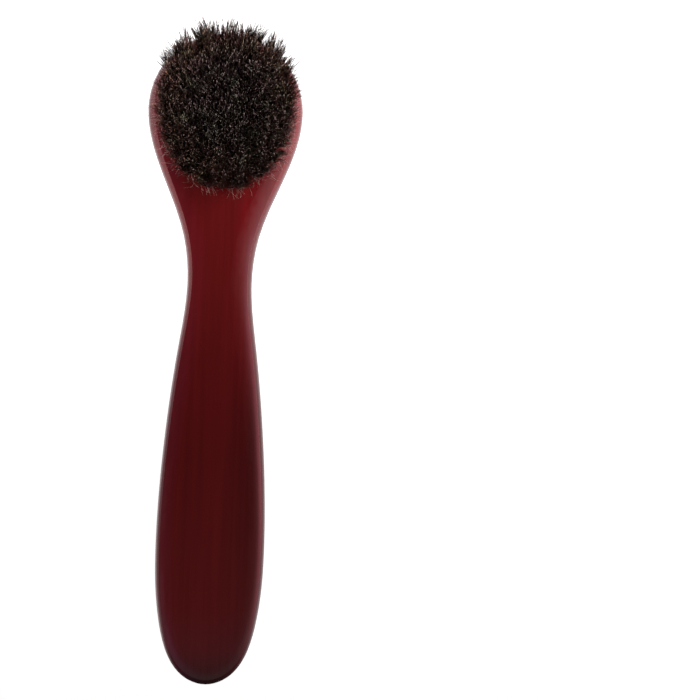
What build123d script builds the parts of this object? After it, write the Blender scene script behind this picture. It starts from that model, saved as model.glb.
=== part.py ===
from build123d import *

import math
import os

# Shoe shine brush: a waisted wooden body with a round head, and hair tufts stapled into the head.
# The brush lies on its flat back. +Z runs up through the hair, +Y from the grip to the head.
# The origin is on the back, halfway along the brush. All sizes are in millimetres.
os.makedirs("parts", exist_ok=True)

# Body seen from above, at its widest level
brush_length = 170.0
head_width = 40.4
neck_width = 16.8
grip_width = 28.3
neck_station = 105.0  # narrowest place, from the butt
grip_station = 36.0  # widest place of the grip, from the butt

# Body seen from the side
body_thickness = 12.0
widest_height = 6.0

# The rounded side leaves each flat face along a crisp ridge: how far that ridge lies inside the outline
back_butt_bevel = 2.5
back_grip_bevel = 1.8
back_neck_bevel = 2.1
back_head_bevel = 1.8
back_top_bevel = 1.7
front_butt_bevel = 2.0
front_grip_bevel = 1.1
front_neck_bevel = 1.3
front_head_bevel = 1.8
front_top_bevel = 1.7

# The front is crowned: inside its ridge it falls away gently over a shoulder, whose width is
crown_butt_width = 3.0
crown_grip_width = 3.2
crown_neck_width = 4.4
crown_head_width = 3.2
crown_top_width = 3.0
crown_drop = 0.35
crown_shares = (0.4, 0.63)  # a point of its curve: shares of its width and of its drop, from the ridge

# Points of the half outline between its named places: (across, along) shares of the way
butt_shares = ((0.35, 0.04), (0.905, 0.47))
waist_shares = ((0.20, 0.38), (0.69, 0.75))
flank_shares = ((0.125, 0.27), (0.57, 0.58))
back_flank_shares = ((0.05, 0.27), (0.42, 0.58))

# The side's swell: (share of the way from the widest level to a face, share of that face's bevel)
swell_shares = ((1.0, 1.0), (0.8, 0.58), (0.5, 0.2))

# Tuft holes, drilled square to the front face
hole_diameter = 2.8
hole_depth = 7.0
hole_sides = 12
field_margin = 6.6  # from the head's edge in to the outermost hole centres
field_reach = 20.0  # from the head's centre towards the neck
row_counts = (3, 5, 6, 7, 7, 7, 6, 6, 5, 3)
row_ends_share = 0.955  # how far up and down the field the first and last rows stand

# Hair tufts
hair_height = 20.0
tuft_clearance = 0.08
slug_sides = 8
strands_round = 7
strand_sides = 3
strand_width = 0.7
strand_tip_width = 0.56
strand_root_radius = 0.88
strand_tip_radius = 1.5
tuft_lean = 1.6  # how far the hair of the outermost tufts leans out at its tips
trim_unevenness = 0.9
strand_sink = 0.4
turn_share = 0.382  # how each tuft is turned, and its hair trimmed, against the one before

# Staples over the tufts' folds
staple_wire = 0.4
staple_width = 2.44
staple_leg = 3.3
fold_height = 1.3
staple_clearance = 0.06


def half_outline(butt_bevel, grip_bevel, neck_bevel, head_bevel, top_bevel, side_shares):
    """The right half of an outline: butt, two points, grip, two, neck, two, head's side and head's top."""
    half_grip = grip_width / 2 - grip_bevel
    half_neck = neck_width / 2 - neck_bevel
    head_radius = head_width / 2 - head_bevel
    head_station = brush_length - top_bevel - head_radius
    points = [(0, butt_bevel)]
    for across, along in butt_shares:
        points.append((half_grip * across, butt_bevel + (grip_station - butt_bevel) * along))
    points.append((half_grip, grip_station))
    for across, along in waist_shares:
        points.append((
            half_grip + (half_neck - half_grip) * across,
            grip_station + (neck_station - grip_station) * along,
        ))
    points.append((half_neck, neck_station))
    for across, along in side_shares:
        points.append((
            half_neck + (head_radius - half_neck) * across,
            neck_station + (head_station - neck_station) * along,
        ))
    points.append((head_radius, head_station))
    points.append((0, head_station + head_radius))
    return [(x, y - brush_length / 2) for x, y in points]


def between(start, end, share):
    """Outline points a share of the way from one outline to another."""
    return [
        (start_x + (end_x - start_x) * share, start_y + (end_y - start_y) * share)
        for (start_x, start_y), (end_x, end_y) in zip(start, end)
    ]


widest = half_outline(0, 0, 0, 0, 0, flank_shares)
back = half_outline(
    back_butt_bevel, back_grip_bevel, back_neck_bevel, back_head_bevel, back_top_bevel, back_flank_shares
)
front = half_outline(
    front_butt_bevel, front_grip_bevel, front_neck_bevel, front_head_bevel, front_top_bevel, flank_shares
)
crown = half_outline(
    front_butt_bevel + crown_butt_width, front_grip_bevel + crown_grip_width,
    front_neck_bevel + crown_neck_width, front_head_bevel + crown_head_width,
    front_top_bevel + crown_top_width, flank_shares,
)
ridge_height = body_thickness - crown_drop

# Outlines of the side, from the back up to the front's ridge
side_sections = []
for rise, bevel in swell_shares:
    side_sections.append((widest_height - widest_height * rise, between(widest, back, bevel)))
side_sections.append((widest_height, widest))
for rise, bevel in reversed(swell_shares):
    side_sections.append((
        widest_height + (ridge_height - widest_height) * rise,
        between(widest, front, bevel),
    ))

# Outlines of the crown, from the ridge in to the flat of the front
crown_sections = [
    (ridge_height, front),
    (ridge_height + crown_drop * crown_shares[1], between(front, crown, crown_shares[0])),
    (body_thickness, crown),
]

# Hole centres: rows across an egg-shaped field, round towards the top and drawn out towards the neck
head_centre = brush_length / 2 - head_width / 2
field_radius = head_width / 2 - field_margin
first_row = field_radius * row_ends_share
last_row = -field_reach * row_ends_share
row_pitch = (first_row - last_row) / (len(row_counts) - 1)
hole_centres = []
for row, count in enumerate(row_counts):
    row_y = first_row - row * row_pitch
    row_reach = field_radius if row_y > 0 else field_reach
    half_row = field_radius * math.sqrt(1 - (row_y / row_reach) ** 2)
    for place in range(count):
        row_x = half_row * (2 * place / (count - 1) - 1)
        hole_centres.append((row_x, head_centre + row_y))

hole_floor = body_thickness - hole_depth
staple_crown = hole_floor + fold_height
staple_top = staple_crown + staple_wire
staple_tip = staple_top - staple_leg


def staple_profile(clearance):
    """Outline of a staple about the middle of its hole, grown by a clearance round its wire."""
    outer = staple_width / 2 + clearance
    inner = staple_width / 2 - staple_wire - clearance
    top = staple_top + clearance
    return [
        (-outer, staple_tip), (-outer, top), (outer, top), (outer, staple_tip),
        (inner, staple_tip), (inner, staple_crown), (-inner, staple_crown), (-inner, staple_tip),
    ]


# Wooden body: one half is lofted through its outlines and mirrored, then the head is drilled
with BuildPart() as brush_body:
    for sections in (side_sections, crown_sections):
        for height, points in sections:
            with BuildSketch(Plane.XY.offset(height)):
                with BuildLine():
                    Spline(*points[:4], tangents=((1, 0), (0, 1)), tangent_scalars=(1, 1))
                    Spline(*points[3:7], tangents=((0, 1), (0, 1)), tangent_scalars=(1, 1))
                    Spline(*points[6:10], tangents=((0, 1), (0, 1)), tangent_scalars=(1, 1))
                    TangentArc(points[9], points[10], tangent=(0, 1))
                    Line(points[10], points[0])
                make_face()
        loft()
    mirror(about=Plane.YZ)
    with BuildSketch(Plane.XY.offset(body_thickness)):
        with Locations(*hole_centres):
            RegularPolygon(hole_diameter / 2, hole_sides)
    extrude(amount=-hole_depth, mode=Mode.SUBTRACT)
    leg_offset = (staple_width - staple_wire) / 2
    with BuildSketch(Plane.XY.offset(hole_floor)):
        for x, y in hole_centres:
            with Locations((x - leg_offset, y), (x + leg_offset, y)):
                Rectangle(staple_wire + 2 * staple_clearance, staple_wire + 2 * staple_clearance)
    extrude(amount=staple_tip - hole_floor, mode=Mode.SUBTRACT)
brush_body.part.label = "brush_body"
export_step(brush_body.part, "parts/brush_body.step")

# One staple about the middle of its hole
with BuildPart() as staple:
    with BuildSketch(Plane.XZ):
        Polygon(*staple_profile(0), align=None)
    extrude(amount=staple_wire / 2, both=True)

# A staple in each hole, its crown over the tuft's fold and its legs in the wood below
with BuildPart() as tuft_staples:
    with Locations(*hole_centres):
        add(staple.part)
tuft_staples.part.label = "tuft_staples"
export_step(tuft_staples.part, "parts/tuft_staples.step")

# The bound root of a tuft: it fills its hole, with an eye for the staple above the fold
with BuildPart() as tuft_root:
    with BuildSketch(Plane.XY.offset(hole_floor)):
        RegularPolygon(hole_diameter / 2 - tuft_clearance, slug_sides, rotation=180 / slug_sides)
    extrude(amount=hole_depth)
    with BuildSketch(Plane.XZ):
        Polygon(*staple_profile(staple_clearance), align=None)
    extrude(amount=staple_wire / 2 + staple_clearance, both=True, mode=Mode.SUBTRACT)


def strand_end(x, y, z, width, angle):
    """A strand's outline, turned with its place in the ring."""
    corners = [angle + 2 * math.pi * side / strand_sides for side in range(strand_sides)]
    return Wire.make_polygon([
        Vector(x + width / 2 * math.cos(corner), y + width / 2 * math.sin(corner), z)
        for corner in corners
    ])


def tuft_strands(number, x, y):
    """The tuft's strands: one in the middle and a ring round it, spreading from root to tip."""
    tip_x = x + tuft_lean * x / field_radius
    tip_y = y + tuft_lean * (y - head_centre) / field_radius
    strands = []
    for strand in range(strands_round + 1):
        angle = math.radians(360 * (strand / strands_round + number * turn_share))
        ring_x = min(strand, 1) * math.cos(angle)
        ring_y = min(strand, 1) * math.sin(angle)
        trim = trim_unevenness * ((number * 5 + strand) * turn_share % 1)
        root = strand_end(
            x + strand_root_radius * ring_x, y + strand_root_radius * ring_y,
            body_thickness - strand_sink, strand_width, angle,
        )
        tip = strand_end(
            tip_x + strand_tip_radius * ring_x, tip_y + strand_tip_radius * ring_y,
            body_thickness + hair_height - trim, strand_tip_width, angle,
        )
        strands.append(Solid.make_loft([root, tip], ruled=True))
    return strands


# The tufts, each one root with its own strands
for number, (x, y) in enumerate(hole_centres, start=1):
    with BuildPart() as tuft:
        with Locations((x, y)):
            add(tuft_root.part)
        add(tuft_strands(number, x, y))
    tuft.part.label = f"tuft_{number:02d}"
    export_step(tuft.part, f"parts/tuft_{number:02d}.step")
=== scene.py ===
import math

import bpy
import numpy as np
from mathutils import Matrix, Vector


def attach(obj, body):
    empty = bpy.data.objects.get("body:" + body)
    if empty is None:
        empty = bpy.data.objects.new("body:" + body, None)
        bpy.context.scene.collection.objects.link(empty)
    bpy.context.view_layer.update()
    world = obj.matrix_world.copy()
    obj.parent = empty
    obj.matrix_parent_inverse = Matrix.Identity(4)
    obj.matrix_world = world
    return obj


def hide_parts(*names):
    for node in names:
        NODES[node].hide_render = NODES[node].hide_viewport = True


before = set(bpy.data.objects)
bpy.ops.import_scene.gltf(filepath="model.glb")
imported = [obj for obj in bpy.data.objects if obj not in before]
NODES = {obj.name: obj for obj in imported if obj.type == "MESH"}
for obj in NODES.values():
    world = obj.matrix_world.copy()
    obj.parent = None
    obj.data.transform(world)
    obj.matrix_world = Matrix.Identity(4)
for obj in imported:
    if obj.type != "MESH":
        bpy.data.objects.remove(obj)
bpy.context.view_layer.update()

MM = 0.001
scene = bpy.context.scene

# Camera
PICTURE_PIXELS = 700.0
BRUSH_AT = (216.9, 358.6)  # pixel of the brush's middle
PIXELS_PER_MM = 3.818  # at the level below
LEVEL_MM = 6.0
DISTANCE_MM = 400.0  # from that level up to the camera
TILT = 0.0365  # the camera's turn about the vertical, in radians
SENSOR_MM = 36.0
CLIP_START, CLIP_END = 0.01, 20.0
FOCAL_STEPS = 3


def make_camera():
    """It hangs over the brush's middle and looks aside, so the brush is left of the picture's middle."""
    aside = PICTURE_PIXELS / 2 - BRUSH_AT[0]
    above = BRUSH_AT[1] - PICTURE_PIXELS / 2
    focal = PIXELS_PER_MM * DISTANCE_MM
    for _ in range(FOCAL_STEPS):
        focal = PIXELS_PER_MM * DISTANCE_MM * math.cos(math.atan(math.hypot(aside, above) / focal))
    right = Vector((math.cos(TILT), math.sin(TILT), 0))
    up = Vector((-math.sin(TILT), math.cos(TILT), 0))
    forward = (Vector((0, 0, -focal)) + right * aside + up * above).normalized()
    right = (right - forward * right.dot(forward)).normalized()
    up = right.cross(forward)
    data = bpy.data.cameras.new("camera")
    data.sensor_width = SENSOR_MM
    data.lens = focal * SENSOR_MM / PICTURE_PIXELS
    data.clip_start = CLIP_START
    data.clip_end = CLIP_END
    camera = bpy.data.objects.new("camera", data)
    scene.collection.objects.link(camera)
    turn = Matrix((right, up, -forward)).transposed().to_4x4()
    camera.matrix_world = Matrix.Translation((0, 0, (LEVEL_MM + DISTANCE_MM) * MM)) @ turn
    scene.camera = camera


# Node helpers
def new_material(name):
    material = bpy.data.materials.new(name)
    material.use_nodes = True
    tree = material.node_tree
    tree.nodes.clear()
    return material, tree


def add_node(tree, kind, **values):
    """A new node. A value named in_SOCKET goes to that input, any other to the node itself."""
    node = tree.nodes.new(kind)
    for key, value in values.items():
        if key.startswith("in_"):
            node.inputs[key[3:].replace("_", " ")].default_value = value
        else:
            setattr(node, key, value)
    return node


def coordinates(tree, kind):
    """A texture coordinate, and its parts X, Y and Z."""
    place = add_node(tree, "ShaderNodeTexCoord").outputs[kind]
    parts = add_node(tree, "ShaderNodeSeparateXYZ")
    tree.links.new(place, parts.inputs[0])
    return place, parts.outputs


def noise(tree, place, **values):
    node = add_node(tree, "ShaderNodeTexNoise", **values)
    tree.links.new(place, node.inputs["Vector"])
    return node.outputs["Fac"]


def stretched(tree, place, scale):
    node = add_node(tree, "ShaderNodeMapping")
    node.inputs["Scale"].default_value = scale
    tree.links.new(place, node.inputs["Vector"])
    return node.outputs[0]


def ramp(tree, stops, fac):
    """Colour at a value, from (place, colour) stops."""
    node = tree.nodes.new("ShaderNodeValToRGB")
    elements = node.color_ramp.elements
    while len(elements) < len(stops):
        elements.new(0.5)
    for element, (place, colour) in zip(elements, stops):
        element.position = place
        element.color = (*colour, 1.0)
    tree.links.new(fac, node.inputs["Fac"])
    return node.outputs["Color"]


def grey_ramp(tree, stops, fac):
    """The same, from (place, grey) stops."""
    return ramp(tree, [(place, (grey, grey, grey)) for place, grey in stops], fac)


def math_node(tree, operation, first, second=None):
    node = tree.nodes.new("ShaderNodeMath")
    node.operation = operation
    for socket, value in zip(node.inputs, (first, second)):
        if value is None:
            continue
        if isinstance(value, (int, float)):
            socket.default_value = value
        else:
            tree.links.new(value, socket)
    return node.outputs[0]


def centred(tree, value, scale):
    """A value times a scale, moved so that zero comes to a ramp's middle."""
    result = math_node(tree, "MULTIPLY_ADD", value, scale)
    result.node.inputs[2].default_value = 0.5
    return result


def mix_colours(tree, kind, fac, first, second):
    """A mix of two colours, which are inputs 6 and 7 of its node."""
    node = tree.nodes.new("ShaderNodeMix")
    node.data_type = "RGBA"
    node.blend_type = kind
    for socket, value in ((node.inputs[0], fac), (node.inputs[6], first), (node.inputs[7], second)):
        if isinstance(value, (int, float)):
            socket.default_value = value
        elif isinstance(value, tuple):
            socket.default_value = (*value, 1.0)
        else:
            tree.links.new(value, socket)
    return node.outputs[2]


def show(tree, shader):
    output = add_node(tree, "ShaderNodeOutputMaterial")
    tree.links.new(shader.outputs[0], output.inputs["Surface"])


# Lacquered wood. Ramps called along run from the butt, 0, to the head's top, 1.
BRUSH_LENGTH = 0.17
RIGHT_SCALE = 100.0  # brings the distance to the right of the middle to a ramp: 1 is 10 mm
HEIGHT_SCALE = 50.0  # brings the height over the back to a ramp: 1 is 20 mm
FIBRE_SCALE = (700.0, 14.0, 500.0)
BAND_SCALE = (95.0, 6.0, 60.0)
BAND_GREYS = ((0.3, 0.86), (0.7, 1.12))
FIBRE_TINTS = ((0.35, (0.86, 0.84, 0.84)), (0.62, (1.06, 1.06, 1.06)))
FIBRE_SHARE = 0.8
# the stain's colour along the brush, with painted shade: darker towards the grip and butt, darkest at the
# butt's end
STAIN_AND_SHADE_ALONG = (
    (0.0, (0.012, 0.0060, 0.0060)),
    (0.025, (0.030, 0.0066, 0.0072)),
    (0.06, (0.047, 0.0056, 0.0068)),
    (0.12, (0.052, 0.0038, 0.0040)),
    (0.35, (0.049, 0.0026, 0.0028)),
    (0.50, (0.060, 0.0030, 0.0034)),
    (0.62, (0.082, 0.0040, 0.0040)),
    (0.74, (0.108, 0.0050, 0.0054)),
    (1.0, (0.120, 0.0085, 0.0095)),
)
# painted sheen: the front is lighter towards its right from the neck up
PAINTED_SHEEN_RIGHT = ((0.0, (1.0, 1.0, 1.0)), (0.30, (1.02, 1.0, 1.05)), (0.75, (1.52, 1.15, 1.50)))
PAINTED_SHEEN_ALONG = ((0.42, 0.0), (0.62, 1.0))
DARK_RIGHT = ((0.10, (1.0, 1.0, 1.0)), (0.80, (0.74, 0.92, 0.92)))
DARK_ALONG = ((0.38, 1.0), (0.50, 0.0))
# painted sheen: slopes that face left are lighter and purpler
PAINTED_SHEEN_LEFT = ((0.02, (1.0, 1.0, 1.0)), (0.16, (1.20, 1.35, 2.20)))
# painted highlight along the front's ridge, most on the right
RIDGE_HEIGHT = ((0.573, 0.0), (0.581, 0.88), (0.5850, 0.70), (0.589, 0.22), (0.595, 0.0))
RIDGE_RIGHT = ((0.48, 0.0), (0.75, 1.0))
RIDGE_ALONG = ((0.03, 0.0), (0.12, 0.55), (0.30, 1.0), (0.66, 1.0), (0.76, 0.2))
RIDGE_HIGHLIGHT_COLOUR = (0.165, 0.040, 0.050)
SIDE_LEVEL = ((0.15, 1.0), (0.80, 0.0))
SIDE_SHARE = 0.85
# the sides along the brush: thinner stain with painted light, and painted shade at the butt's end
SIDE_ALONG = (
    (0.0, (0.030, 0.0055, 0.0060)),
    (0.06, (0.060, 0.0060, 0.0085)),
    (0.14, (0.074, 0.0066, 0.0100)),
    (0.40, (0.074, 0.0066, 0.0100)),
    (0.62, (0.100, 0.0135, 0.0155)),
    (0.78, (0.141, 0.0245, 0.0285)),
)
# the left side: painted light on the neck, and painted shade at the head, where the hair shades it
LEFT_SIDE = ((0.1, 0.0), (0.5, 1.0))
LEFT_SIDE_LIGHT_AND_SHADE = (
    (0.42, (0.5, 0.5, 0.5)),
    (0.56, (0.68, 0.64, 0.58)),
    (0.66, (0.86, 0.84, 0.70)),
    (0.76, (0.76, 0.70, 0.62)),
    (0.86, (0.30, 0.34, 0.30)),
)
LEFT_SIDE_GAIN = (2.0, 2.0, 2.0)  # a half in the ramp above leaves the side as it is
# painted sheen where the wood is seen at a grazing angle
RIM_GRAZING = ((0.70, 0.0), (0.95, 1.0))
RIM_ALONG = ((0.0, 0.0), (0.03, 0.25), (0.08, 1.0))
RIM_LEFT = ((0.3, 0.0), (0.7, 1.0))
RIM_SHARE = 0.8
RIM_SHEEN_RIGHT = (0.30, 0.205, 0.21)
RIM_SHEEN_LEFT = (0.62, 0.44, 0.45)
EDGE_RADIUS = 0.00035
FIBRE_DEPTH = 0.0002


def face_colour(tree, share, right, leftward, fibres, darker):
    """Colour of the flat faces: the stain, redder on the neck and head, with painted shade that makes it
    darkest on the grip and butt.
    """
    colour = mix_colours(tree, "MULTIPLY", 1.0, ramp(tree, STAIN_AND_SHADE_ALONG, share), darker)
    colour = mix_colours(tree, "MULTIPLY", FIBRE_SHARE, colour, ramp(tree, FIBRE_TINTS, fibres))
    # towards the right it is painted lighter from the neck up, a painted sheen, and it is darker on the grip
    for stops_along, stops_right in ((PAINTED_SHEEN_ALONG, PAINTED_SHEEN_RIGHT), (DARK_ALONG, DARK_RIGHT)):
        place = grey_ramp(tree, stops_along, share)
        colour = mix_colours(tree, "MULTIPLY", place, colour, ramp(tree, stops_right, right))
    # painted sheen on slopes that face left
    return mix_colours(tree, "MULTIPLY", 1.0, colour, ramp(tree, PAINTED_SHEEN_LEFT, leftward))


def side_colour(tree, share, leftward, darker):
    """The rounded sides: the stain is thin there and the light wood shows through, with painted light that
    the sides catch.
    """
    # painted light on the neck's left side, painted shade on the head's left side
    left_light_and_shade = mix_colours(tree, "MULTIPLY", 1.0, ramp(tree, LEFT_SIDE_LIGHT_AND_SHADE, share), LEFT_SIDE_GAIN)
    colour = mix_colours(
        tree, "MULTIPLY", grey_ramp(tree, LEFT_SIDE, leftward), ramp(tree, SIDE_ALONG, share), left_light_and_shade)
    return mix_colours(tree, "MULTIPLY", 1.0, colour, darker)


def wood_material():
    material, tree = new_material("lacquered_wood")
    links = tree.links
    place, parts = coordinates(tree, "Object")
    facing = coordinates(tree, "Normal")[1]
    share = centred(tree, parts["Y"], 1.0 / BRUSH_LENGTH)
    right = math_node(tree, "MULTIPLY", parts["X"], RIGHT_SCALE)
    height = math_node(tree, "MULTIPLY", parts["Z"], HEIGHT_SCALE)
    level = math_node(tree, "ABSOLUTE", facing["Z"])
    leftward = math_node(tree, "MULTIPLY", facing["X"], -1.0)

    # fibres and bands run along the brush
    fibres = noise(tree, stretched(tree, place, FIBRE_SCALE), in_Scale=1.0, in_Detail=6.0, in_Roughness=0.6)
    bands = noise(tree, stretched(tree, place, BAND_SCALE), in_Scale=1.0, in_Detail=4.0, in_Roughness=0.55,
                  in_Distortion=0.4)
    darker = grey_ramp(tree, BAND_GREYS, bands)
    colour = face_colour(tree, share, right, leftward, fibres, darker)
    on_side = math_node(tree, "MULTIPLY", grey_ramp(tree, SIDE_LEVEL, level), SIDE_SHARE)
    colour = mix_colours(tree, "MIX", on_side, colour, side_colour(tree, share, leftward, darker))

    # a painted highlight along the ridge round the front, most on the right
    beside = math_node(
        tree, "MULTIPLY", grey_ramp(tree, RIDGE_RIGHT, right), grey_ramp(tree, RIDGE_ALONG, share))
    ridge_highlight = math_node(tree, "MULTIPLY", grey_ramp(tree, RIDGE_HEIGHT, height), beside)
    colour = mix_colours(tree, "MIX", ridge_highlight, colour, RIDGE_HIGHLIGHT_COLOUR)

    # a painted sheen: the colour pales where the wood is seen at a grazing angle, more on the left
    grazing = add_node(tree, "ShaderNodeLayerWeight", in_Blend=0.5).outputs["Facing"]
    rim = math_node(
        tree, "MULTIPLY", grey_ramp(tree, RIM_GRAZING, grazing), grey_ramp(tree, RIM_ALONG, share))
    rim_sheen_colour = mix_colours(
        tree, "MIX", grey_ramp(tree, RIM_LEFT, leftward), RIM_SHEEN_RIGHT, RIM_SHEEN_LEFT)
    colour = mix_colours(tree, "MIX", math_node(tree, "MULTIPLY", rim, RIM_SHARE), colour, rim_sheen_colour)

    rounded = add_node(tree, "ShaderNodeBevel", samples=6, in_Radius=EDGE_RADIUS)
    relief = add_node(tree, "ShaderNodeBump", in_Strength=0.06, in_Distance=FIBRE_DEPTH)
    links.new(rounded.outputs[0], relief.inputs["Normal"])
    links.new(fibres, relief.inputs["Height"])
    shader = add_node(tree, "ShaderNodeBsdfPrincipled")
    shader.inputs["Roughness"].default_value = 0.5
    shader.inputs["Specular IOR Level"].default_value = 0.0
    shader.inputs["Coat Weight"].default_value = 1.0
    shader.inputs["Coat Roughness"].default_value = 0.14
    shader.inputs["Coat IOR"].default_value = 1.5
    links.new(colour, shader.inputs["Base Color"])
    links.new(relief.outputs[0], shader.inputs["Normal"])
    show(tree, shader)
    return material


# Staple wire
WIRE_MARK_SCALE = 2500.0
WIRE_COLOURS = ((0.3, (0.36, 0.36, 0.35)), (0.7, (0.58, 0.58, 0.56)))


def wire_material():
    material, tree = new_material("staple_wire")
    place = add_node(tree, "ShaderNodeTexCoord").outputs["Object"]
    marks = noise(tree, place, in_Scale=WIRE_MARK_SCALE, in_Detail=3.0)
    shader = add_node(tree, "ShaderNodeBsdfPrincipled")
    shader.inputs["Metallic"].default_value = 1.0
    shader.inputs["Roughness"].default_value = 0.35
    tree.links.new(ramp(tree, WIRE_COLOURS, marks), shader.inputs["Base Color"])
    show(tree, shader)
    return material


# Hair. Each hair has its own shade and warmth, kept in its mesh.
HAIR_SHADES = (
    (0.0, (0.0175, 0.0102, 0.0084)),
    (0.40, (0.0240, 0.0146, 0.0123)),
    (0.66, (0.049, 0.0320, 0.0275)),
    (0.80, (0.140, 0.112, 0.100)),
    (0.92, (0.66, 0.56, 0.52)),
    (1.0, (0.50, 0.29, 0.25)),
)
PATCH_SCALE = 230.0
PATCH_TINTS = (
    (0.30, (0.88, 1.04, 0.84)),
    (0.45, (1.0, 1.0, 1.0)),
    (0.55, (1.04, 0.96, 0.96)),
    (0.70, (1.16, 0.92, 1.10)),
)
WARM_TINT = (1.70, 1.22, 0.86)


def hair_material():
    material, tree = new_material("hair")
    shade = add_node(tree, "ShaderNodeAttribute", attribute_name="shade")
    warmth = add_node(tree, "ShaderNodeAttribute", attribute_name="warmth")
    place = add_node(tree, "ShaderNodeTexCoord").outputs["Object"]
    patches = noise(tree, place, in_Scale=PATCH_SCALE, in_Detail=1.0)
    colour = ramp(tree, HAIR_SHADES, shade.outputs["Fac"])
    colour = mix_colours(tree, "MULTIPLY", 1.0, colour, ramp(tree, PATCH_TINTS, patches))
    warm = mix_colours(tree, "MULTIPLY", 1.0, colour, WARM_TINT)
    colour = mix_colours(tree, "MIX", warmth.outputs["Fac"], colour, warm)
    shader = add_node(tree, "ShaderNodeBsdfPrincipled")
    shader.inputs["Roughness"].default_value = 0.34
    shader.inputs["Specular IOR Level"].default_value = 0.38
    shader.inputs["Specular Tint"].default_value = (1.0, 0.79, 0.72, 1.0)
    tree.links.new(colour, shader.inputs["Base Color"])
    show(tree, shader)
    return material


# Hair geometry. Sizes are in millimetres, and places on the head are taken from its centre.
RINGS = 6  # places along a hair
SIDES = 3
WAY = np.array([0.0, 0.35, 0.62, 0.80, 0.92, 1.0])  # where they lie, as shares of the way to the tip
EVEN_WAY = np.linspace(0, 1, RINGS)
ANY_SIDE = np.array([0.31, 0.95, 0.05])  # a direction that no hair follows
HEAD_CENTRE = np.array([0.0, 64.8])
FIELD_ACROSS, FIELD_ALONG = 13.6, 20.0  # how far the holes reach: across and up, and down
FACE = 12.0  # level of the wood's front
TOP = 31.95  # level of the highest tips
MARGINS = ((-19.9, 19.9), (-84.8, 84.8), (1.0, TOP))  # what every hair stays within
HAIRS = 20000
LOCKS = 3000

# How far the field of tips reaches from the head's centre, and how square its outline is
REACH_RIGHT, REACH_LEFT, REACH_UP, REACH_DOWN = 17.5, 17.1, 18.1, 22.2
SQUARE_UP, SQUARE_DOWN = 2.5, 2.4
FIELD_BOX = np.array([[-18.0, -24.0], [18.0, 18.5]])
SPREAD_STEPS = np.array([0.7548776662466927, 0.5698402909980532])  # steps of an evenly spread sequence
SPREAD_DISORDER = 0.35
AT_ONCE = 2000  # points measured in one go

# A tuft's hairs
ROOT_SLICE = 0.1
ROOT_SINK = 2.5
TUFT_REACH = 2.4  # tips this far from the tuft's middle belong to hairs at the hole's edge
HOLE_REACH = 1.2
SPOT_SPREAD = 0.25
LEAN_POWER = 1.4  # over 1, a hair leaves its hole upright and leans out above it
BEND = 0.45
CROOK = np.array([0.0, 0.0, 0.0, 0.05, 0.35, 1.0])  # how the cut tip turns aside
HOOK, PALE_HOOK, STEEP_HOOK = 0.24, 0.45, 1.9
RIM_HOOK_LOSS, HOOK_DROP = 0.6, 0.35
STEEP_FROM, STEEP_WITHIN, STEEP_SHARES = 14, 12, (0.1, 0.8)
STEEP_SPREAD = 0.5
THICKNESS = (0.085, 0.145)
TAPER_INSIDE = np.array([1.0, 1.0, 1.0, 1.0, 0.9, 0.65])
TAPER_RIM = np.array([1.0, 1.0, 0.95, 0.85, 0.6, 0.2])
SHADE_ALONG = (-0.12, 0.06)  # change of shade from root to tip
PALE_ROOT = 0.70  # a pale hair is no paler than this below its tip

# Strays out of the top of the field
SPLAY_SINK = 1.0
STRAYS = 6
STRAY_FROM = 0.8  # how far up a tuft's direction points before it has strays
STRAY_SPOT, STRAY_FAN, STRAY_SPREAD = 0.6, 1.15, 1.8
STRAY_ALONG = (19.2, 20.0)
STRAY_DROP = 0.6
STRAY_LEAN_POWER = 1.6
STRAY_THICKNESS = (0.09, 0.13)
STRAY_TAPER = np.array([1.0, 1.0, 0.95, 0.85, 0.75, 0.5])
STRAY_SHADE = 0.4

# Loose hairs round the field, for tufts on its edge
EDGE_TUFT = 0.8
LOOSE_DIRECTIONS = (-1, -0.85, -0.5, 0.2, 0.6)  # how far up a tuft's direction points
LOOSE_COUNTS = (24, 42, 60, 50, 10)
LOOSE_TURN = 1.0
LOOSE_REACH, LOOSE_REACH_ASIDE = (1.4, 4.7), 2.1
LOOSE_HEIGHT = (2.0, 13.0)
LOOSE_ROW, LOOSE_SPOT = 3.2, 0.5
LOOSE_LIFT = (0.5, 4.0)
LOOSE_CURL = 0.5
LOOSE_THICKNESS = (0.06, 0.10)
LOOSE_TAPER = np.array([1.0, 1.0, 0.95, 0.85, 0.7, 0.35])
LOOSE_PALE_SHARE, LOOSE_PALE, LOOSE_DARK = 0.60, (0.965, 1.0), (0.55, 0.84)

# Locks, which draw hairs together
LOCK_EDGE = 0.99
LOCK_RIM = (0.8, 0.18)
UPPER_SLOPE, UPPER_START = 2.2, 0.5
SWELL_TURNS = (19, 27, 37, 53)  # waves round the field's edge
SWELL = 1.1
LOCK_PUSH = (-1.7, 1.2)
PUSH_BELOW, PUSH_ABOVE = 0.4, 0.6
LOCK_LEAN = 0.2
LOCK_DROP, RIM_DROP, PATCH_DROP, PATCH_DROP_LIMIT = 0.35, 0.25, 0.35, 1.5
LOCK_DRAW, RIM_DRAW = 0.30, 0.5
LOCK_SHADE = 0.04
PATCH_WAVES, PATCH_PEAK = 12, 4  # how many waves are added, and what their sum is divided by
PATCH_PITCH = (0.7, 1.5)
BROAD_PATCH, FINE_PATCH, FINE_SHARE = 4.5, 1.8, 0.6  # wavelengths, and the fine one's share
BROAD_SEED, FINE_SEED = 31, 32

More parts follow.
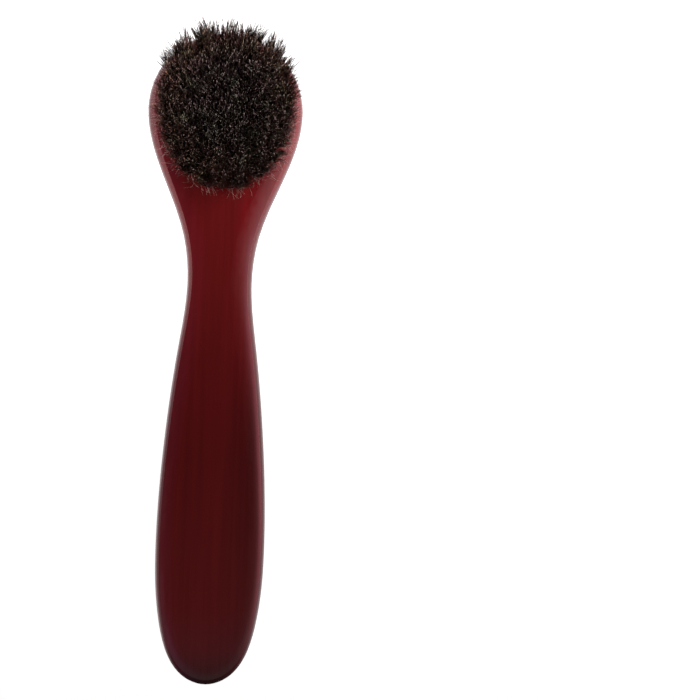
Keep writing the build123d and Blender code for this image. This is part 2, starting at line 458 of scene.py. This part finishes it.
# Where a hair's tip stands, and its shade
TIPS_SHARE = 0.87  # of the way out to the edge, for the middle of a tuft on the edge
DRAW_RANGE = (0.6, 1.1)
RIM = (0.8, 0.2)
TIP_SPREAD, RIM_CALM = 0.3, 0.6
SPIKE_BELOW, SPIKE_ABOVE = 0.35, 0.6
WILD_SHARE, WILD_SPREAD, WILD_DROP = 0.05, 0.9, 2.5
TIP_DROP = 0.8
SHADE_BETA, SHADE_SCALE, SHADE_LIMIT, TONE_SHADE = (1.5, 2.6), 0.85, 0.76, 0.045
# pale tips: partly pale hair, partly painted glints where the cut tips catch the light
PALE_SHARE, PALE_TONE, PALE_SHADES = 0.10, 0.6, (0.74, 0.925)
PALE_LOCK_DROP, PALE_DROP = 0.6, 0.4
OUTER = (0.45, 0.3)
WARM_OUTER, WARM_UPPER, WARM_LEFT = 0.5, 0.35, 0.4
WARM_MEAN, WARM_SPREAD, WARM_LIMIT, PALE_WARMTH = 0.05, 0.2, 1.2, 0.2
# painted light: hair is lighter towards the edge, the sides and the right
OUTER_PAINTED_LIGHT, SIDE_PAINTED_LIGHT, RIGHT_PAINTED_LIGHT = 0.075, 0.055, 0.4
LOW_SPAN, LOW_START = 10, 0.2
LOW_PALE_LOSS, UPPER_PALE_LOSS = 0.03, 0.025


def fade(values, span):
    """0 up to a start, rising to 1 over a width."""
    start, width = span
    return np.clip((values - start) / width, 0, 1)


def tip_reach(angle):
    """How far the field of tips reaches in a direction."""
    across, along = np.cos(angle), np.sin(angle)
    power = np.where(along > 0, SQUARE_UP, SQUARE_DOWN)
    across = np.abs(across) / np.where(across > 0, REACH_RIGHT, REACH_LEFT)
    along = np.abs(along) / np.where(along > 0, REACH_UP, REACH_DOWN)
    return (across ** power + along ** power) ** (-1 / power)


def direction(points):
    return np.arctan2(points[:, 1], points[:, 0])


def edge_share(points):
    """How far points lie from the head's centre, as a share of the field's reach there."""
    return np.hypot(*points.T) / tip_reach(direction(points))


def tuft_root(node):
    """Middle of a tuft's root, from its solid."""
    points = np.array([vertex.co for vertex in node.data.vertices]) / MM
    low = points[points[:, 2] < points[:, 2].min() + ROOT_SLICE]
    return ((low.min(0) + low.max(0)) / 2)[:2]


def spread_points(count, seed):
    """Evenly spread points in the unit square, with a little disorder."""
    rng = np.random.default_rng(seed)
    number = np.arange(count)[:, None]
    points = (0.5 + number * SPREAD_STEPS) % 1
    return (points + rng.normal(0, SPREAD_DISORDER / math.sqrt(count), (count, 2))) % 1


def field_points(count, seed, share=1.0):
    """Points spread over the field of tips."""
    size = FIELD_BOX[1] - FIELD_BOX[0]
    angles = np.radians(np.arange(0, 360, 5))
    field_area = 0.5 * (tip_reach(angles) ** 2).mean() * 2 * math.pi
    points = FIELD_BOX[0] + spread_points(int(count * size.prod() / field_area), seed) * size
    reach = np.hypot(points[:, 0], points[:, 1])
    return points[reach < share * tip_reach(direction(points))]


def nearest(points, targets):
    """Number of the target nearest to each point."""
    found = np.empty(len(points), int)
    for first in range(0, len(points), AT_ONCE):
        part = points[first:first + AT_ONCE]
        found[first:first + AT_ONCE] = np.argmin(((part[:, None] - targets[None]) ** 2).sum(2), axis=1)
    return found


def patchy(points, wavelength, seed):
    """A smooth random field over the hair, about -1 to 1."""
    rng = np.random.default_rng(seed)
    total = 0
    for _ in range(PATCH_WAVES):
        turn, phase = rng.uniform(0, 2 * math.pi, 2)
        pitch = 2 * math.pi / (wavelength * rng.uniform(*PATCH_PITCH))
        along = points[:, 0] * math.cos(turn) + points[:, 1] * math.sin(turn)
        total = total + np.sin(pitch * along + phase)
    return total / PATCH_PEAK


def hair_mesh(name, paths, widths, shades, warmth, material):
    """One mesh of thin three-sided hairs. paths is hairs x rings x 3."""
    count = len(paths)
    heading = np.gradient(paths, axis=1)
    heading /= np.linalg.norm(heading, axis=2, keepdims=True)
    aside = np.cross(heading, ANY_SIDE)
    aside /= np.linalg.norm(aside, axis=2, keepdims=True)
    across = np.cross(heading, aside)
    rings = []
    for side in range(SIDES):
        angle = 2 * math.pi * side / SIDES
        rings.append(paths + (aside * math.cos(angle) + across * math.sin(angle)) * widths[..., None] / 2)
    points = np.stack(rings, axis=2).reshape(-1, 3) * MM
    hair = np.arange(count)[:, None, None] * RINGS * SIDES
    ring = np.arange(RINGS - 1)[None, :, None] * SIDES
    side = np.arange(SIDES)[None, None, :]
    after = (side + 1) % SIDES
    near, far = hair + ring, hair + ring + SIDES
    quads = np.stack([near + side, near + after, far + after, far + side], axis=-1).reshape(-1, 4)
    starts = np.arange(count)[:, None] * RINGS * SIDES
    roots = starts + np.arange(SIDES)[None, ::-1]
    tips = starts + (RINGS - 1) * SIDES + np.arange(SIDES)[None, :]
    mesh = bpy.data.meshes.new(name)
    mesh.from_pydata(points.tolist(), [], quads.tolist() + roots.tolist() + tips.tolist())
    shade = mesh.attributes.new("shade", "FLOAT", "POINT")
    shade.data.foreach_set("value", np.repeat(shades, SIDES, axis=1).reshape(-1).astype(np.float32))
    warm = mesh.attributes.new("warmth", "FLOAT", "POINT")
    warm.data.foreach_set("value", np.repeat(warmth, RINGS * SIDES).astype(np.float32))
    mesh.shade_smooth()
    mesh.materials.append(material)
    mesh.update()
    return mesh


def lifted(spots, level):
    """Spots on the head, at a level."""
    return np.concatenate([spots, np.full((len(spots), 1), level)], 1)


def straight_paths(start, end, way, lean_power=1.0):
    """Paths from start to end, which lean out late where the power is over 1."""
    way = way[None, :, None]
    paths = start[:, None] * (1 - way) + end[:, None] * way
    drift = (end - start)[:, None] * np.array([1.0, 1.0, 0.0])
    return paths + drift * (way ** lean_power - way)


def tuft_hairs(rng, root, centre, tips, heights, rim, pale):
    """Hairs of one tuft, from its hole to their tips. rim is 1 for hairs on the field's edge, 0 inside."""
    count = len(tips)
    spot = (tips - centre) / TUFT_REACH
    spot += rng.normal(0, SPOT_SPREAD, (count, 2))
    spot /= np.maximum(np.linalg.norm(spot, axis=1, keepdims=True), 1)
    start = lifted(root + spot * HOLE_REACH, FACE - ROOT_SINK)
    end = np.concatenate([tips, heights[:, None]], 1)
    paths = straight_paths(start, end, WAY, LEAN_POWER)
    bend = np.concatenate([rng.normal(0, BEND, (count, 2)), np.zeros((count, 1))], 1)
    paths += bend[:, None] * np.sin(math.pi * WAY[None, :, None])
    # the cut tips turn aside a little, each its own way, and many of the upper ones along the brush
    turn = rng.uniform(0, 2 * math.pi, count)
    steep = rng.uniform(0, 1, count) < np.clip((tips[:, 1] + STEEP_FROM) / STEEP_WITHIN, *STEEP_SHARES)
    turn[steep] = (rng.choice([-1, 1], steep.sum()) * math.pi / 2
                   + rng.normal(0, STEEP_SPREAD, steep.sum()))
    hook = np.abs(rng.normal(0, HOOK, count)) + np.where(pale, rng.uniform(0.0, PALE_HOOK, count), 0)
    hook *= np.where(steep, STEEP_HOOK, 1.0) * (1 - RIM_HOOK_LOSS * rim)
    paths[..., 0] += CROOK * (hook * np.cos(turn))[:, None]
    paths[..., 1] += CROOK * (hook * np.sin(turn))[:, None]
    paths[..., 2] -= CROOK ** 2 * (HOOK_DROP * hook)[:, None]
    thickness = rng.uniform(*THICKNESS, (count, 1))
    return paths, thickness * (TAPER_INSIDE + (TAPER_RIM - TAPER_INSIDE) * rim[:, None])


def stray_hairs(rng, root, count):
    """Thin hairs that stand out of the top of the field."""
    start = lifted(root + rng.normal(0, STRAY_SPOT, (count, 2)), FACE - SPLAY_SINK)
    end = np.stack([
        root[0] * STRAY_FAN + rng.normal(0, STRAY_SPREAD, count),
        rng.uniform(*STRAY_ALONG, count),
        rng.uniform(TOP - STRAY_DROP, TOP, count),
    ], 1)
    paths = straight_paths(start, end, WAY, STRAY_LEAN_POWER)
    widths = rng.uniform(*STRAY_THICKNESS, (count, 1)) * STRAY_TAPER[None]
    return paths, widths, np.full((count, RINGS), STRAY_SHADE)


def loose_hairs(rng, root, count, out):
    """Loose hairs, most of them pale, that splay low over the wood round the field."""
    turn = math.atan2(out[1], out[0]) + rng.normal(0, LOOSE_TURN, count)
    reach = rng.uniform(*LOOSE_REACH, count) + LOOSE_REACH_ASIDE * abs(out[0])
    height = FACE + rng.uniform(*LOOSE_HEIGHT, count)
    along_edge = np.array([-out[1], out[0]])
    spot = along_edge * rng.uniform(-LOOSE_ROW, LOOSE_ROW, (count, 1)) + rng.normal(0, LOOSE_SPOT, (count, 2))
    start = lifted(root + spot, FACE - SPLAY_SINK)
    end = start + np.stack([np.cos(turn) * reach, np.sin(turn) * reach, height - start[:, 2]], 1)
    paths = straight_paths(start, end, EVEN_WAY)
    bow = np.sin(math.pi * EVEN_WAY)[None]
    lift = rng.uniform(*LOOSE_LIFT, count)
    paths[..., 2] += lift[:, None] * bow
    curl = rng.normal(0, LOOSE_CURL, (count, 2))
    paths[..., :2] += curl[:, None] * bow[..., None]
    widths = rng.uniform(*LOOSE_THICKNESS, (count, 1)) * LOOSE_TAPER[None]
    is_pale = rng.uniform(0, 1, (count, 1)) < LOOSE_PALE_SHARE
    pale, dark = rng.uniform(*LOOSE_PALE, (count, 1)), rng.uniform(*LOOSE_DARK, (count, 1))
    return paths, widths, np.where(is_pale, pale, dark) * np.ones((1, RINGS))


def lay_locks(rng, centres):
    """Locks of hair over the whole field. Each belongs to the nearest tuft, and draws its hairs together."""
    spots = field_points(LOCKS, 11, LOCK_EDGE)
    count = len(spots)
    angle = direction(spots)
    rim = fade(edge_share(spots), LOCK_RIM)
    upper = np.clip(np.sin(angle) * UPPER_SLOPE + UPPER_START, 0, 1)
    phases = rng.uniform(0, 2 * math.pi, len(SWELL_TURNS))
    swell = sum(np.sin(angle * turns + phase) for turns, phase in zip(SWELL_TURNS, phases)) / len(SWELL_TURNS)
    out = spots / np.linalg.norm(spots, axis=1, keepdims=True)
    push = rng.uniform(*LOCK_PUSH, count) * (PUSH_BELOW + PUSH_ABOVE * upper) + SWELL * swell * upper
    lean = rng.normal(0, LOCK_LEAN, spots.shape) + out * (rim * push)[:, None]
    drop = np.abs(rng.normal(0, LOCK_DROP, count)) + RIM_DROP * rim
    draw = rng.uniform(0.0, LOCK_DRAW, count) + RIM_DRAW * rim * upper
    shade = rng.normal(0, LOCK_SHADE, count)
    drop += PATCH_DROP * np.clip(-patchy(spots, BROAD_PATCH, BROAD_SEED), 0, PATCH_DROP_LIMIT)
    return {"spots": spots, "tuft": nearest(spots, centres), "upper": upper, "out": out, "lean": lean,
            "drop": drop, "draw": draw, "shade": shade}


def lay_hairs(rng, locks):
    """Tip, shade and warmth of every hair over the whole field."""
    tips = field_points(HAIRS, 23)
    count = len(tips)
    number = nearest(tips, locks["spots"])
    lock = {key: values[number] for key, values in locks.items()}
    upper = lock["upper"]
    draw = lock["draw"][:, None] * rng.uniform(*DRAW_RANGE, (count, 1))
    rim = fade(edge_share(tips), RIM)
    tips = tips * (1 - draw) + lock["spots"] * draw + lock["lean"]
    tips += rng.normal(0, TIP_SPREAD, tips.shape) * (1 - RIM_CALM * rim[:, None])
    spike = rim * rng.exponential(SPIKE_BELOW + SPIKE_ABOVE * upper, count)
    tips += lock["out"] * spike[:, None]
    wild = rng.uniform(0, 1, count) < WILD_SHARE
    tips[wild] += rng.normal(0, WILD_SPREAD, (wild.sum(), 2))
    heights = TOP - lock["drop"] - np.abs(rng.normal(0, TIP_DROP, count))
    heights[wild] -= rng.uniform(0, WILD_DROP, wild.sum())

    shade = np.clip(rng.beta(*SHADE_BETA, count) * SHADE_SCALE + lock["shade"], 0, SHADE_LIMIT)
    tone = patchy(tips, BROAD_PATCH, BROAD_SEED) + FINE_SHARE * patchy(tips, FINE_PATCH, FINE_SEED)
    shade = np.clip(shade + TONE_SHADE * tone, 0, SHADE_LIMIT)
    # some hairs are pale towards the tip: partly pale hair, partly painted glints where the cut tips catch
    # the light
    pale = rng.uniform(0, 1, count) < PALE_SHARE * (1 + PALE_TONE * tone)
    shade[pale] = rng.uniform(*PALE_SHADES, pale.sum())
    heights[pale] = TOP - lock["drop"][pale] * PALE_LOCK_DROP - rng.uniform(0, PALE_DROP, pale.sum())

    # hair is warmer towards the edge, and painted lighter there, most at the sides and on the right, as
    # painted light that the outer hairs catch; pale hairs are duller at the bottom and upper edge
    outer = fade(edge_share(tips), OUTER)
    on_left, on_right = tips[:, 0] < 0, tips[:, 0] > 0
    warmth = outer * (WARM_OUTER + WARM_UPPER * upper + WARM_LEFT * on_left)
    warmth = np.clip(warmth + rng.normal(WARM_MEAN, WARM_SPREAD, count), 0, WARM_LIMIT)
    warmth[pale] *= PALE_WARMTH
    beside = np.abs(tips[:, 0]) / REACH_RIGHT + RIGHT_PAINTED_LIGHT * on_right
    shade[~pale] += (outer * (OUTER_PAINTED_LIGHT + SIDE_PAINTED_LIGHT * beside))[~pale]
    low = np.clip(-tips[:, 1] / LOW_SPAN - LOW_START, 0, 1)
    shade[pale] -= LOW_PALE_LOSS * low[pale]
    shade[pale] -= UPPER_PALE_LOSS * (outer * upper)[pale]
    return {"tips": tips, "heights": heights, "rim": rim, "pale": pale, "shade": shade, "warmth": warmth,
            "tuft": lock["tuft"]}


def make_hair(material):
    names = [name for name in sorted(NODES) if name.startswith("tuft_") and name != "tuft_staples"]
    roots = np.array([tuft_root(NODES[name]) for name in names]) - HEAD_CENTRE
    reach_share = np.hypot(roots[:, 0] / FIELD_ACROSS,
                           roots[:, 1] / np.where(roots[:, 1] > 0, FIELD_ACROSS, FIELD_ALONG))
    root_turn = direction(roots)
    centres = np.stack([np.cos(root_turn), np.sin(root_turn)], 1)
    centres = centres * (tip_reach(root_turn) * reach_share * TIPS_SHARE)[:, None]
    rng = np.random.default_rng(7)
    hairs = lay_hairs(rng, lay_locks(rng, centres))

    for index, name in enumerate(names):
        mine = hairs["tuft"] == index
        pale = hairs["pale"][mine]
        rng = np.random.default_rng(200 + index)
        paths, widths = tuft_hairs(
            rng, roots[index], centres[index], hairs["tips"][mine], hairs["heights"][mine],
            hairs["rim"][mine], pale)
        shades = np.clip(hairs["shade"][mine][:, None] + np.linspace(*SHADE_ALONG, RINGS)[None], 0, 1)
        shades[pale, :-1] = np.minimum(shades[pale, :-1], PALE_ROOT)
        warmth = hairs["warmth"][mine]
        if reach_share[index] > EDGE_TUFT:
            out = roots[index] / np.linalg.norm(roots[index])
            count = int(np.interp(out[1], LOOSE_DIRECTIONS, LOOSE_COUNTS))
            loose = loose_hairs(rng, roots[index], count, out)
            stray = stray_hairs(rng, roots[index], STRAYS if out[1] > STRAY_FROM else 0)
            sets = zip((paths, widths, shades), loose, stray)
            paths, widths, shades = (np.concatenate(parts) for parts in sets)
            warmth = np.concatenate([warmth, np.zeros(len(loose[0]) + len(stray[0]))])
        paths[..., :2] += HEAD_CENTRE
        for axis, (low, high) in enumerate(MARGINS):
            paths[..., axis] = np.clip(paths[..., axis], low, high)
        mesh = hair_mesh(name + "_hair", paths, widths, shades, warmth, material)
        piece = bpy.data.objects.new(name + "_hair", mesh)
        scene.collection.objects.link(piece)
        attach(piece, "root")
        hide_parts(name)


# Floor. The camera sees it as white. Its colour is a painted shadow, darker towards the butt and a little
# darker on the left, so light that bounces off it is dimmer there.
FLOOR_SIZE = 1.6
FLOOR_ALONG_SCALE, FLOOR_ACROSS_SCALE = 5.0, 10.0
# painted shadow: the floor's colour darkens towards the butt, a little more on the left
FLOOR_SHADOW_LEFT = ((0.06, 0.01), (0.14, 0.20), (0.34, 0.20), (0.54, 0.34), (0.84, 0.84))
FLOOR_SHADOW_RIGHT = ((0.06, 0.01), (0.14, 0.26), (0.34, 0.26), (0.54, 0.42), (0.80, 0.84))
FLOOR_ACROSS = ((0.35, 0.0), (0.65, 1.0))
FLOOR_MIRRORED = ((0.06, 0.0), (0.14, 0.06))
FLOOR_SEEN = ((0.06, 0.99), (0.14, 0.90))


def floor_material():
    material, tree = new_material("pale_floor")
    parts = coordinates(tree, "Object")[1]
    along = centred(tree, parts["Y"], FLOOR_ALONG_SCALE)
    across = centred(tree, parts["X"], FLOOR_ACROSS_SCALE)
    diffuse = add_node(tree, "ShaderNodeBsdfDiffuse")
    colour = mix_colours(tree, "MIX", grey_ramp(tree, FLOOR_ACROSS, across),
                         grey_ramp(tree, FLOOR_SHADOW_LEFT, along), grey_ramp(tree, FLOOR_SHADOW_RIGHT, along))
    tree.links.new(colour, diffuse.inputs["Color"])
    rays = add_node(tree, "ShaderNodeLightPath").outputs
    mirrored = math_node(tree, "MULTIPLY", rays["Is Glossy Ray"], grey_ramp(tree, FLOOR_MIRRORED, along))
    seen = math_node(tree, "MULTIPLY", rays["Is Camera Ray"], grey_ramp(tree, FLOOR_SEEN, along))
    glow = add_node(tree, "ShaderNodeEmission")
    glow.inputs["Color"].default_value = (1, 1, 1, 1)
    tree.links.new(math_node(tree, "MAXIMUM", seen, mirrored), glow.inputs["Strength"])
    total = add_node(tree, "ShaderNodeAddShader")
    tree.links.new(diffuse.outputs[0], total.inputs[0])
    tree.links.new(glow.outputs[0], total.inputs[1])
    show(tree, total)
    return material


def make_floor():
    mesh = bpy.data.meshes.new("floor")
    corners = [(x * FLOOR_SIZE, y * FLOOR_SIZE, 0) for x, y in ((-1, -1), (1, -1), (1, 1), (-1, 1))]
    mesh.from_pydata(corners, [], [(0, 1, 2, 3)])
    mesh.materials.append(floor_material())
    floor = bpy.data.objects.new("floor", mesh)
    scene.collection.objects.link(floor)


# World: a grey sky, dark overhead and behind the butt, that the camera sees as white
SKY_RISE = (
    (0.0, (0.45, 0.45, 0.45)),
    (0.30, (0.60, 0.60, 0.60)),
    (0.70, (0.80, 0.80, 0.80)),
    (0.86, (0.60, 0.60, 0.60)),
    (0.945, (0.05, 0.05, 0.055)),
    (1.0, (0.02, 0.02, 0.022)),
)
SKY_ALONG = ((0.05, 0.40), (0.16, 0.25), (0.33, 0.30), (0.42, 1.0))


def make_world():
    world = bpy.data.worlds.new("studio")
    scene.world = world
    world.use_nodes = True
    tree = world.node_tree
    tree.nodes.clear()
    parts = coordinates(tree, "Generated")[1]
    shaded = grey_ramp(tree, SKY_ALONG, centred(tree, parts["Y"], 0.5))
    backdrop = add_node(tree, "ShaderNodeBackground")
    backdrop.inputs["Strength"].default_value = 1.0
    sky = mix_colours(tree, "MULTIPLY", 1.0, ramp(tree, SKY_RISE, parts["Z"]), shaded)
    tree.links.new(sky, backdrop.inputs["Color"])
    white = add_node(tree, "ShaderNodeBackground")
    white.inputs["Color"].default_value = (1, 1, 1, 1)
    rays = add_node(tree, "ShaderNodeLightPath")
    choose = add_node(tree, "ShaderNodeMixShader")
    tree.links.new(rays.outputs["Is Camera Ray"], choose.inputs[0])
    tree.links.new(backdrop.outputs[0], choose.inputs[1])
    tree.links.new(white.outputs[0], choose.inputs[2])
    output = add_node(tree, "ShaderNodeOutputWorld")
    tree.links.new(choose.outputs[0], output.inputs["Surface"])


# Lamps: one on each side, and strips overhead to the right that give the front its sheen
SIDE_LAMPS = {"right": ((0.85, 0.15, 0.36), 13.0), "left": ((-0.85, 0.0, 0.36), 8.5)}
SIDE_LAMP_SIZE = (0.90, 0.30)
SIDE_LAMP_TARGET = (0.0, 0.0, 0.01)
SHEEN_HEIGHT = 0.26
SHEEN_STRIPS = (  # from, to, and the strip's glow
    (0.032, 0.050, 0.22),
    (0.050, 0.075, 0.75),
    (0.075, 0.105, 1.20),
    (0.105, 0.150, 1.45),
)
SHEEN_PARTS = {  # from, to, and the share of the glow over this part of the brush
    "head": (0.035, 0.14, 0.95),
    "neck": (-0.03, 0.035, 0.12),
    "grip": (-0.16, -0.03, 0.07),
}


def area_light(name, place, target, size, power):
    data = bpy.data.lights.new(name, "AREA")
    data.shape = "RECTANGLE"
    data.size, data.size_y = size
    data.energy = power
    light = bpy.data.objects.new(name, data)
    scene.collection.objects.link(light)
    light.location = place
    light.rotation_mode = "QUATERNION"
    light.rotation_quaternion = (Vector(target) - Vector(place)).to_track_quat("-Z", "Y")
    return light


def make_lamps():
    for name, (place, power) in SIDE_LAMPS.items():
        area_light(name, place, SIDE_LAMP_TARGET, SIDE_LAMP_SIZE, power)
    for number, (near, far, glow) in enumerate(SHEEN_STRIPS):
        middle, width = (near + far) / 2, far - near
        for part, (low, high, share) in SHEEN_PARTS.items():
            over = (middle, (low + high) / 2)
            power = math.pi * width * (high - low) * glow * share
            lamp = area_light(
                f"sheen_{part}_{number}", (*over, SHEEN_HEIGHT), (*over, 0.0), (width, high - low), power)
            lamp.visible_camera = False


def give_material(node, material):
    node.data.materials.clear()
    node.data.materials.append(material)


make_camera()
give_material(NODES["brush_body"], wood_material())
give_material(NODES["tuft_staples"], wire_material())
make_hair(hair_material())
make_floor()
make_world()
make_lamps()

scene.view_settings.view_transform = "Standard"
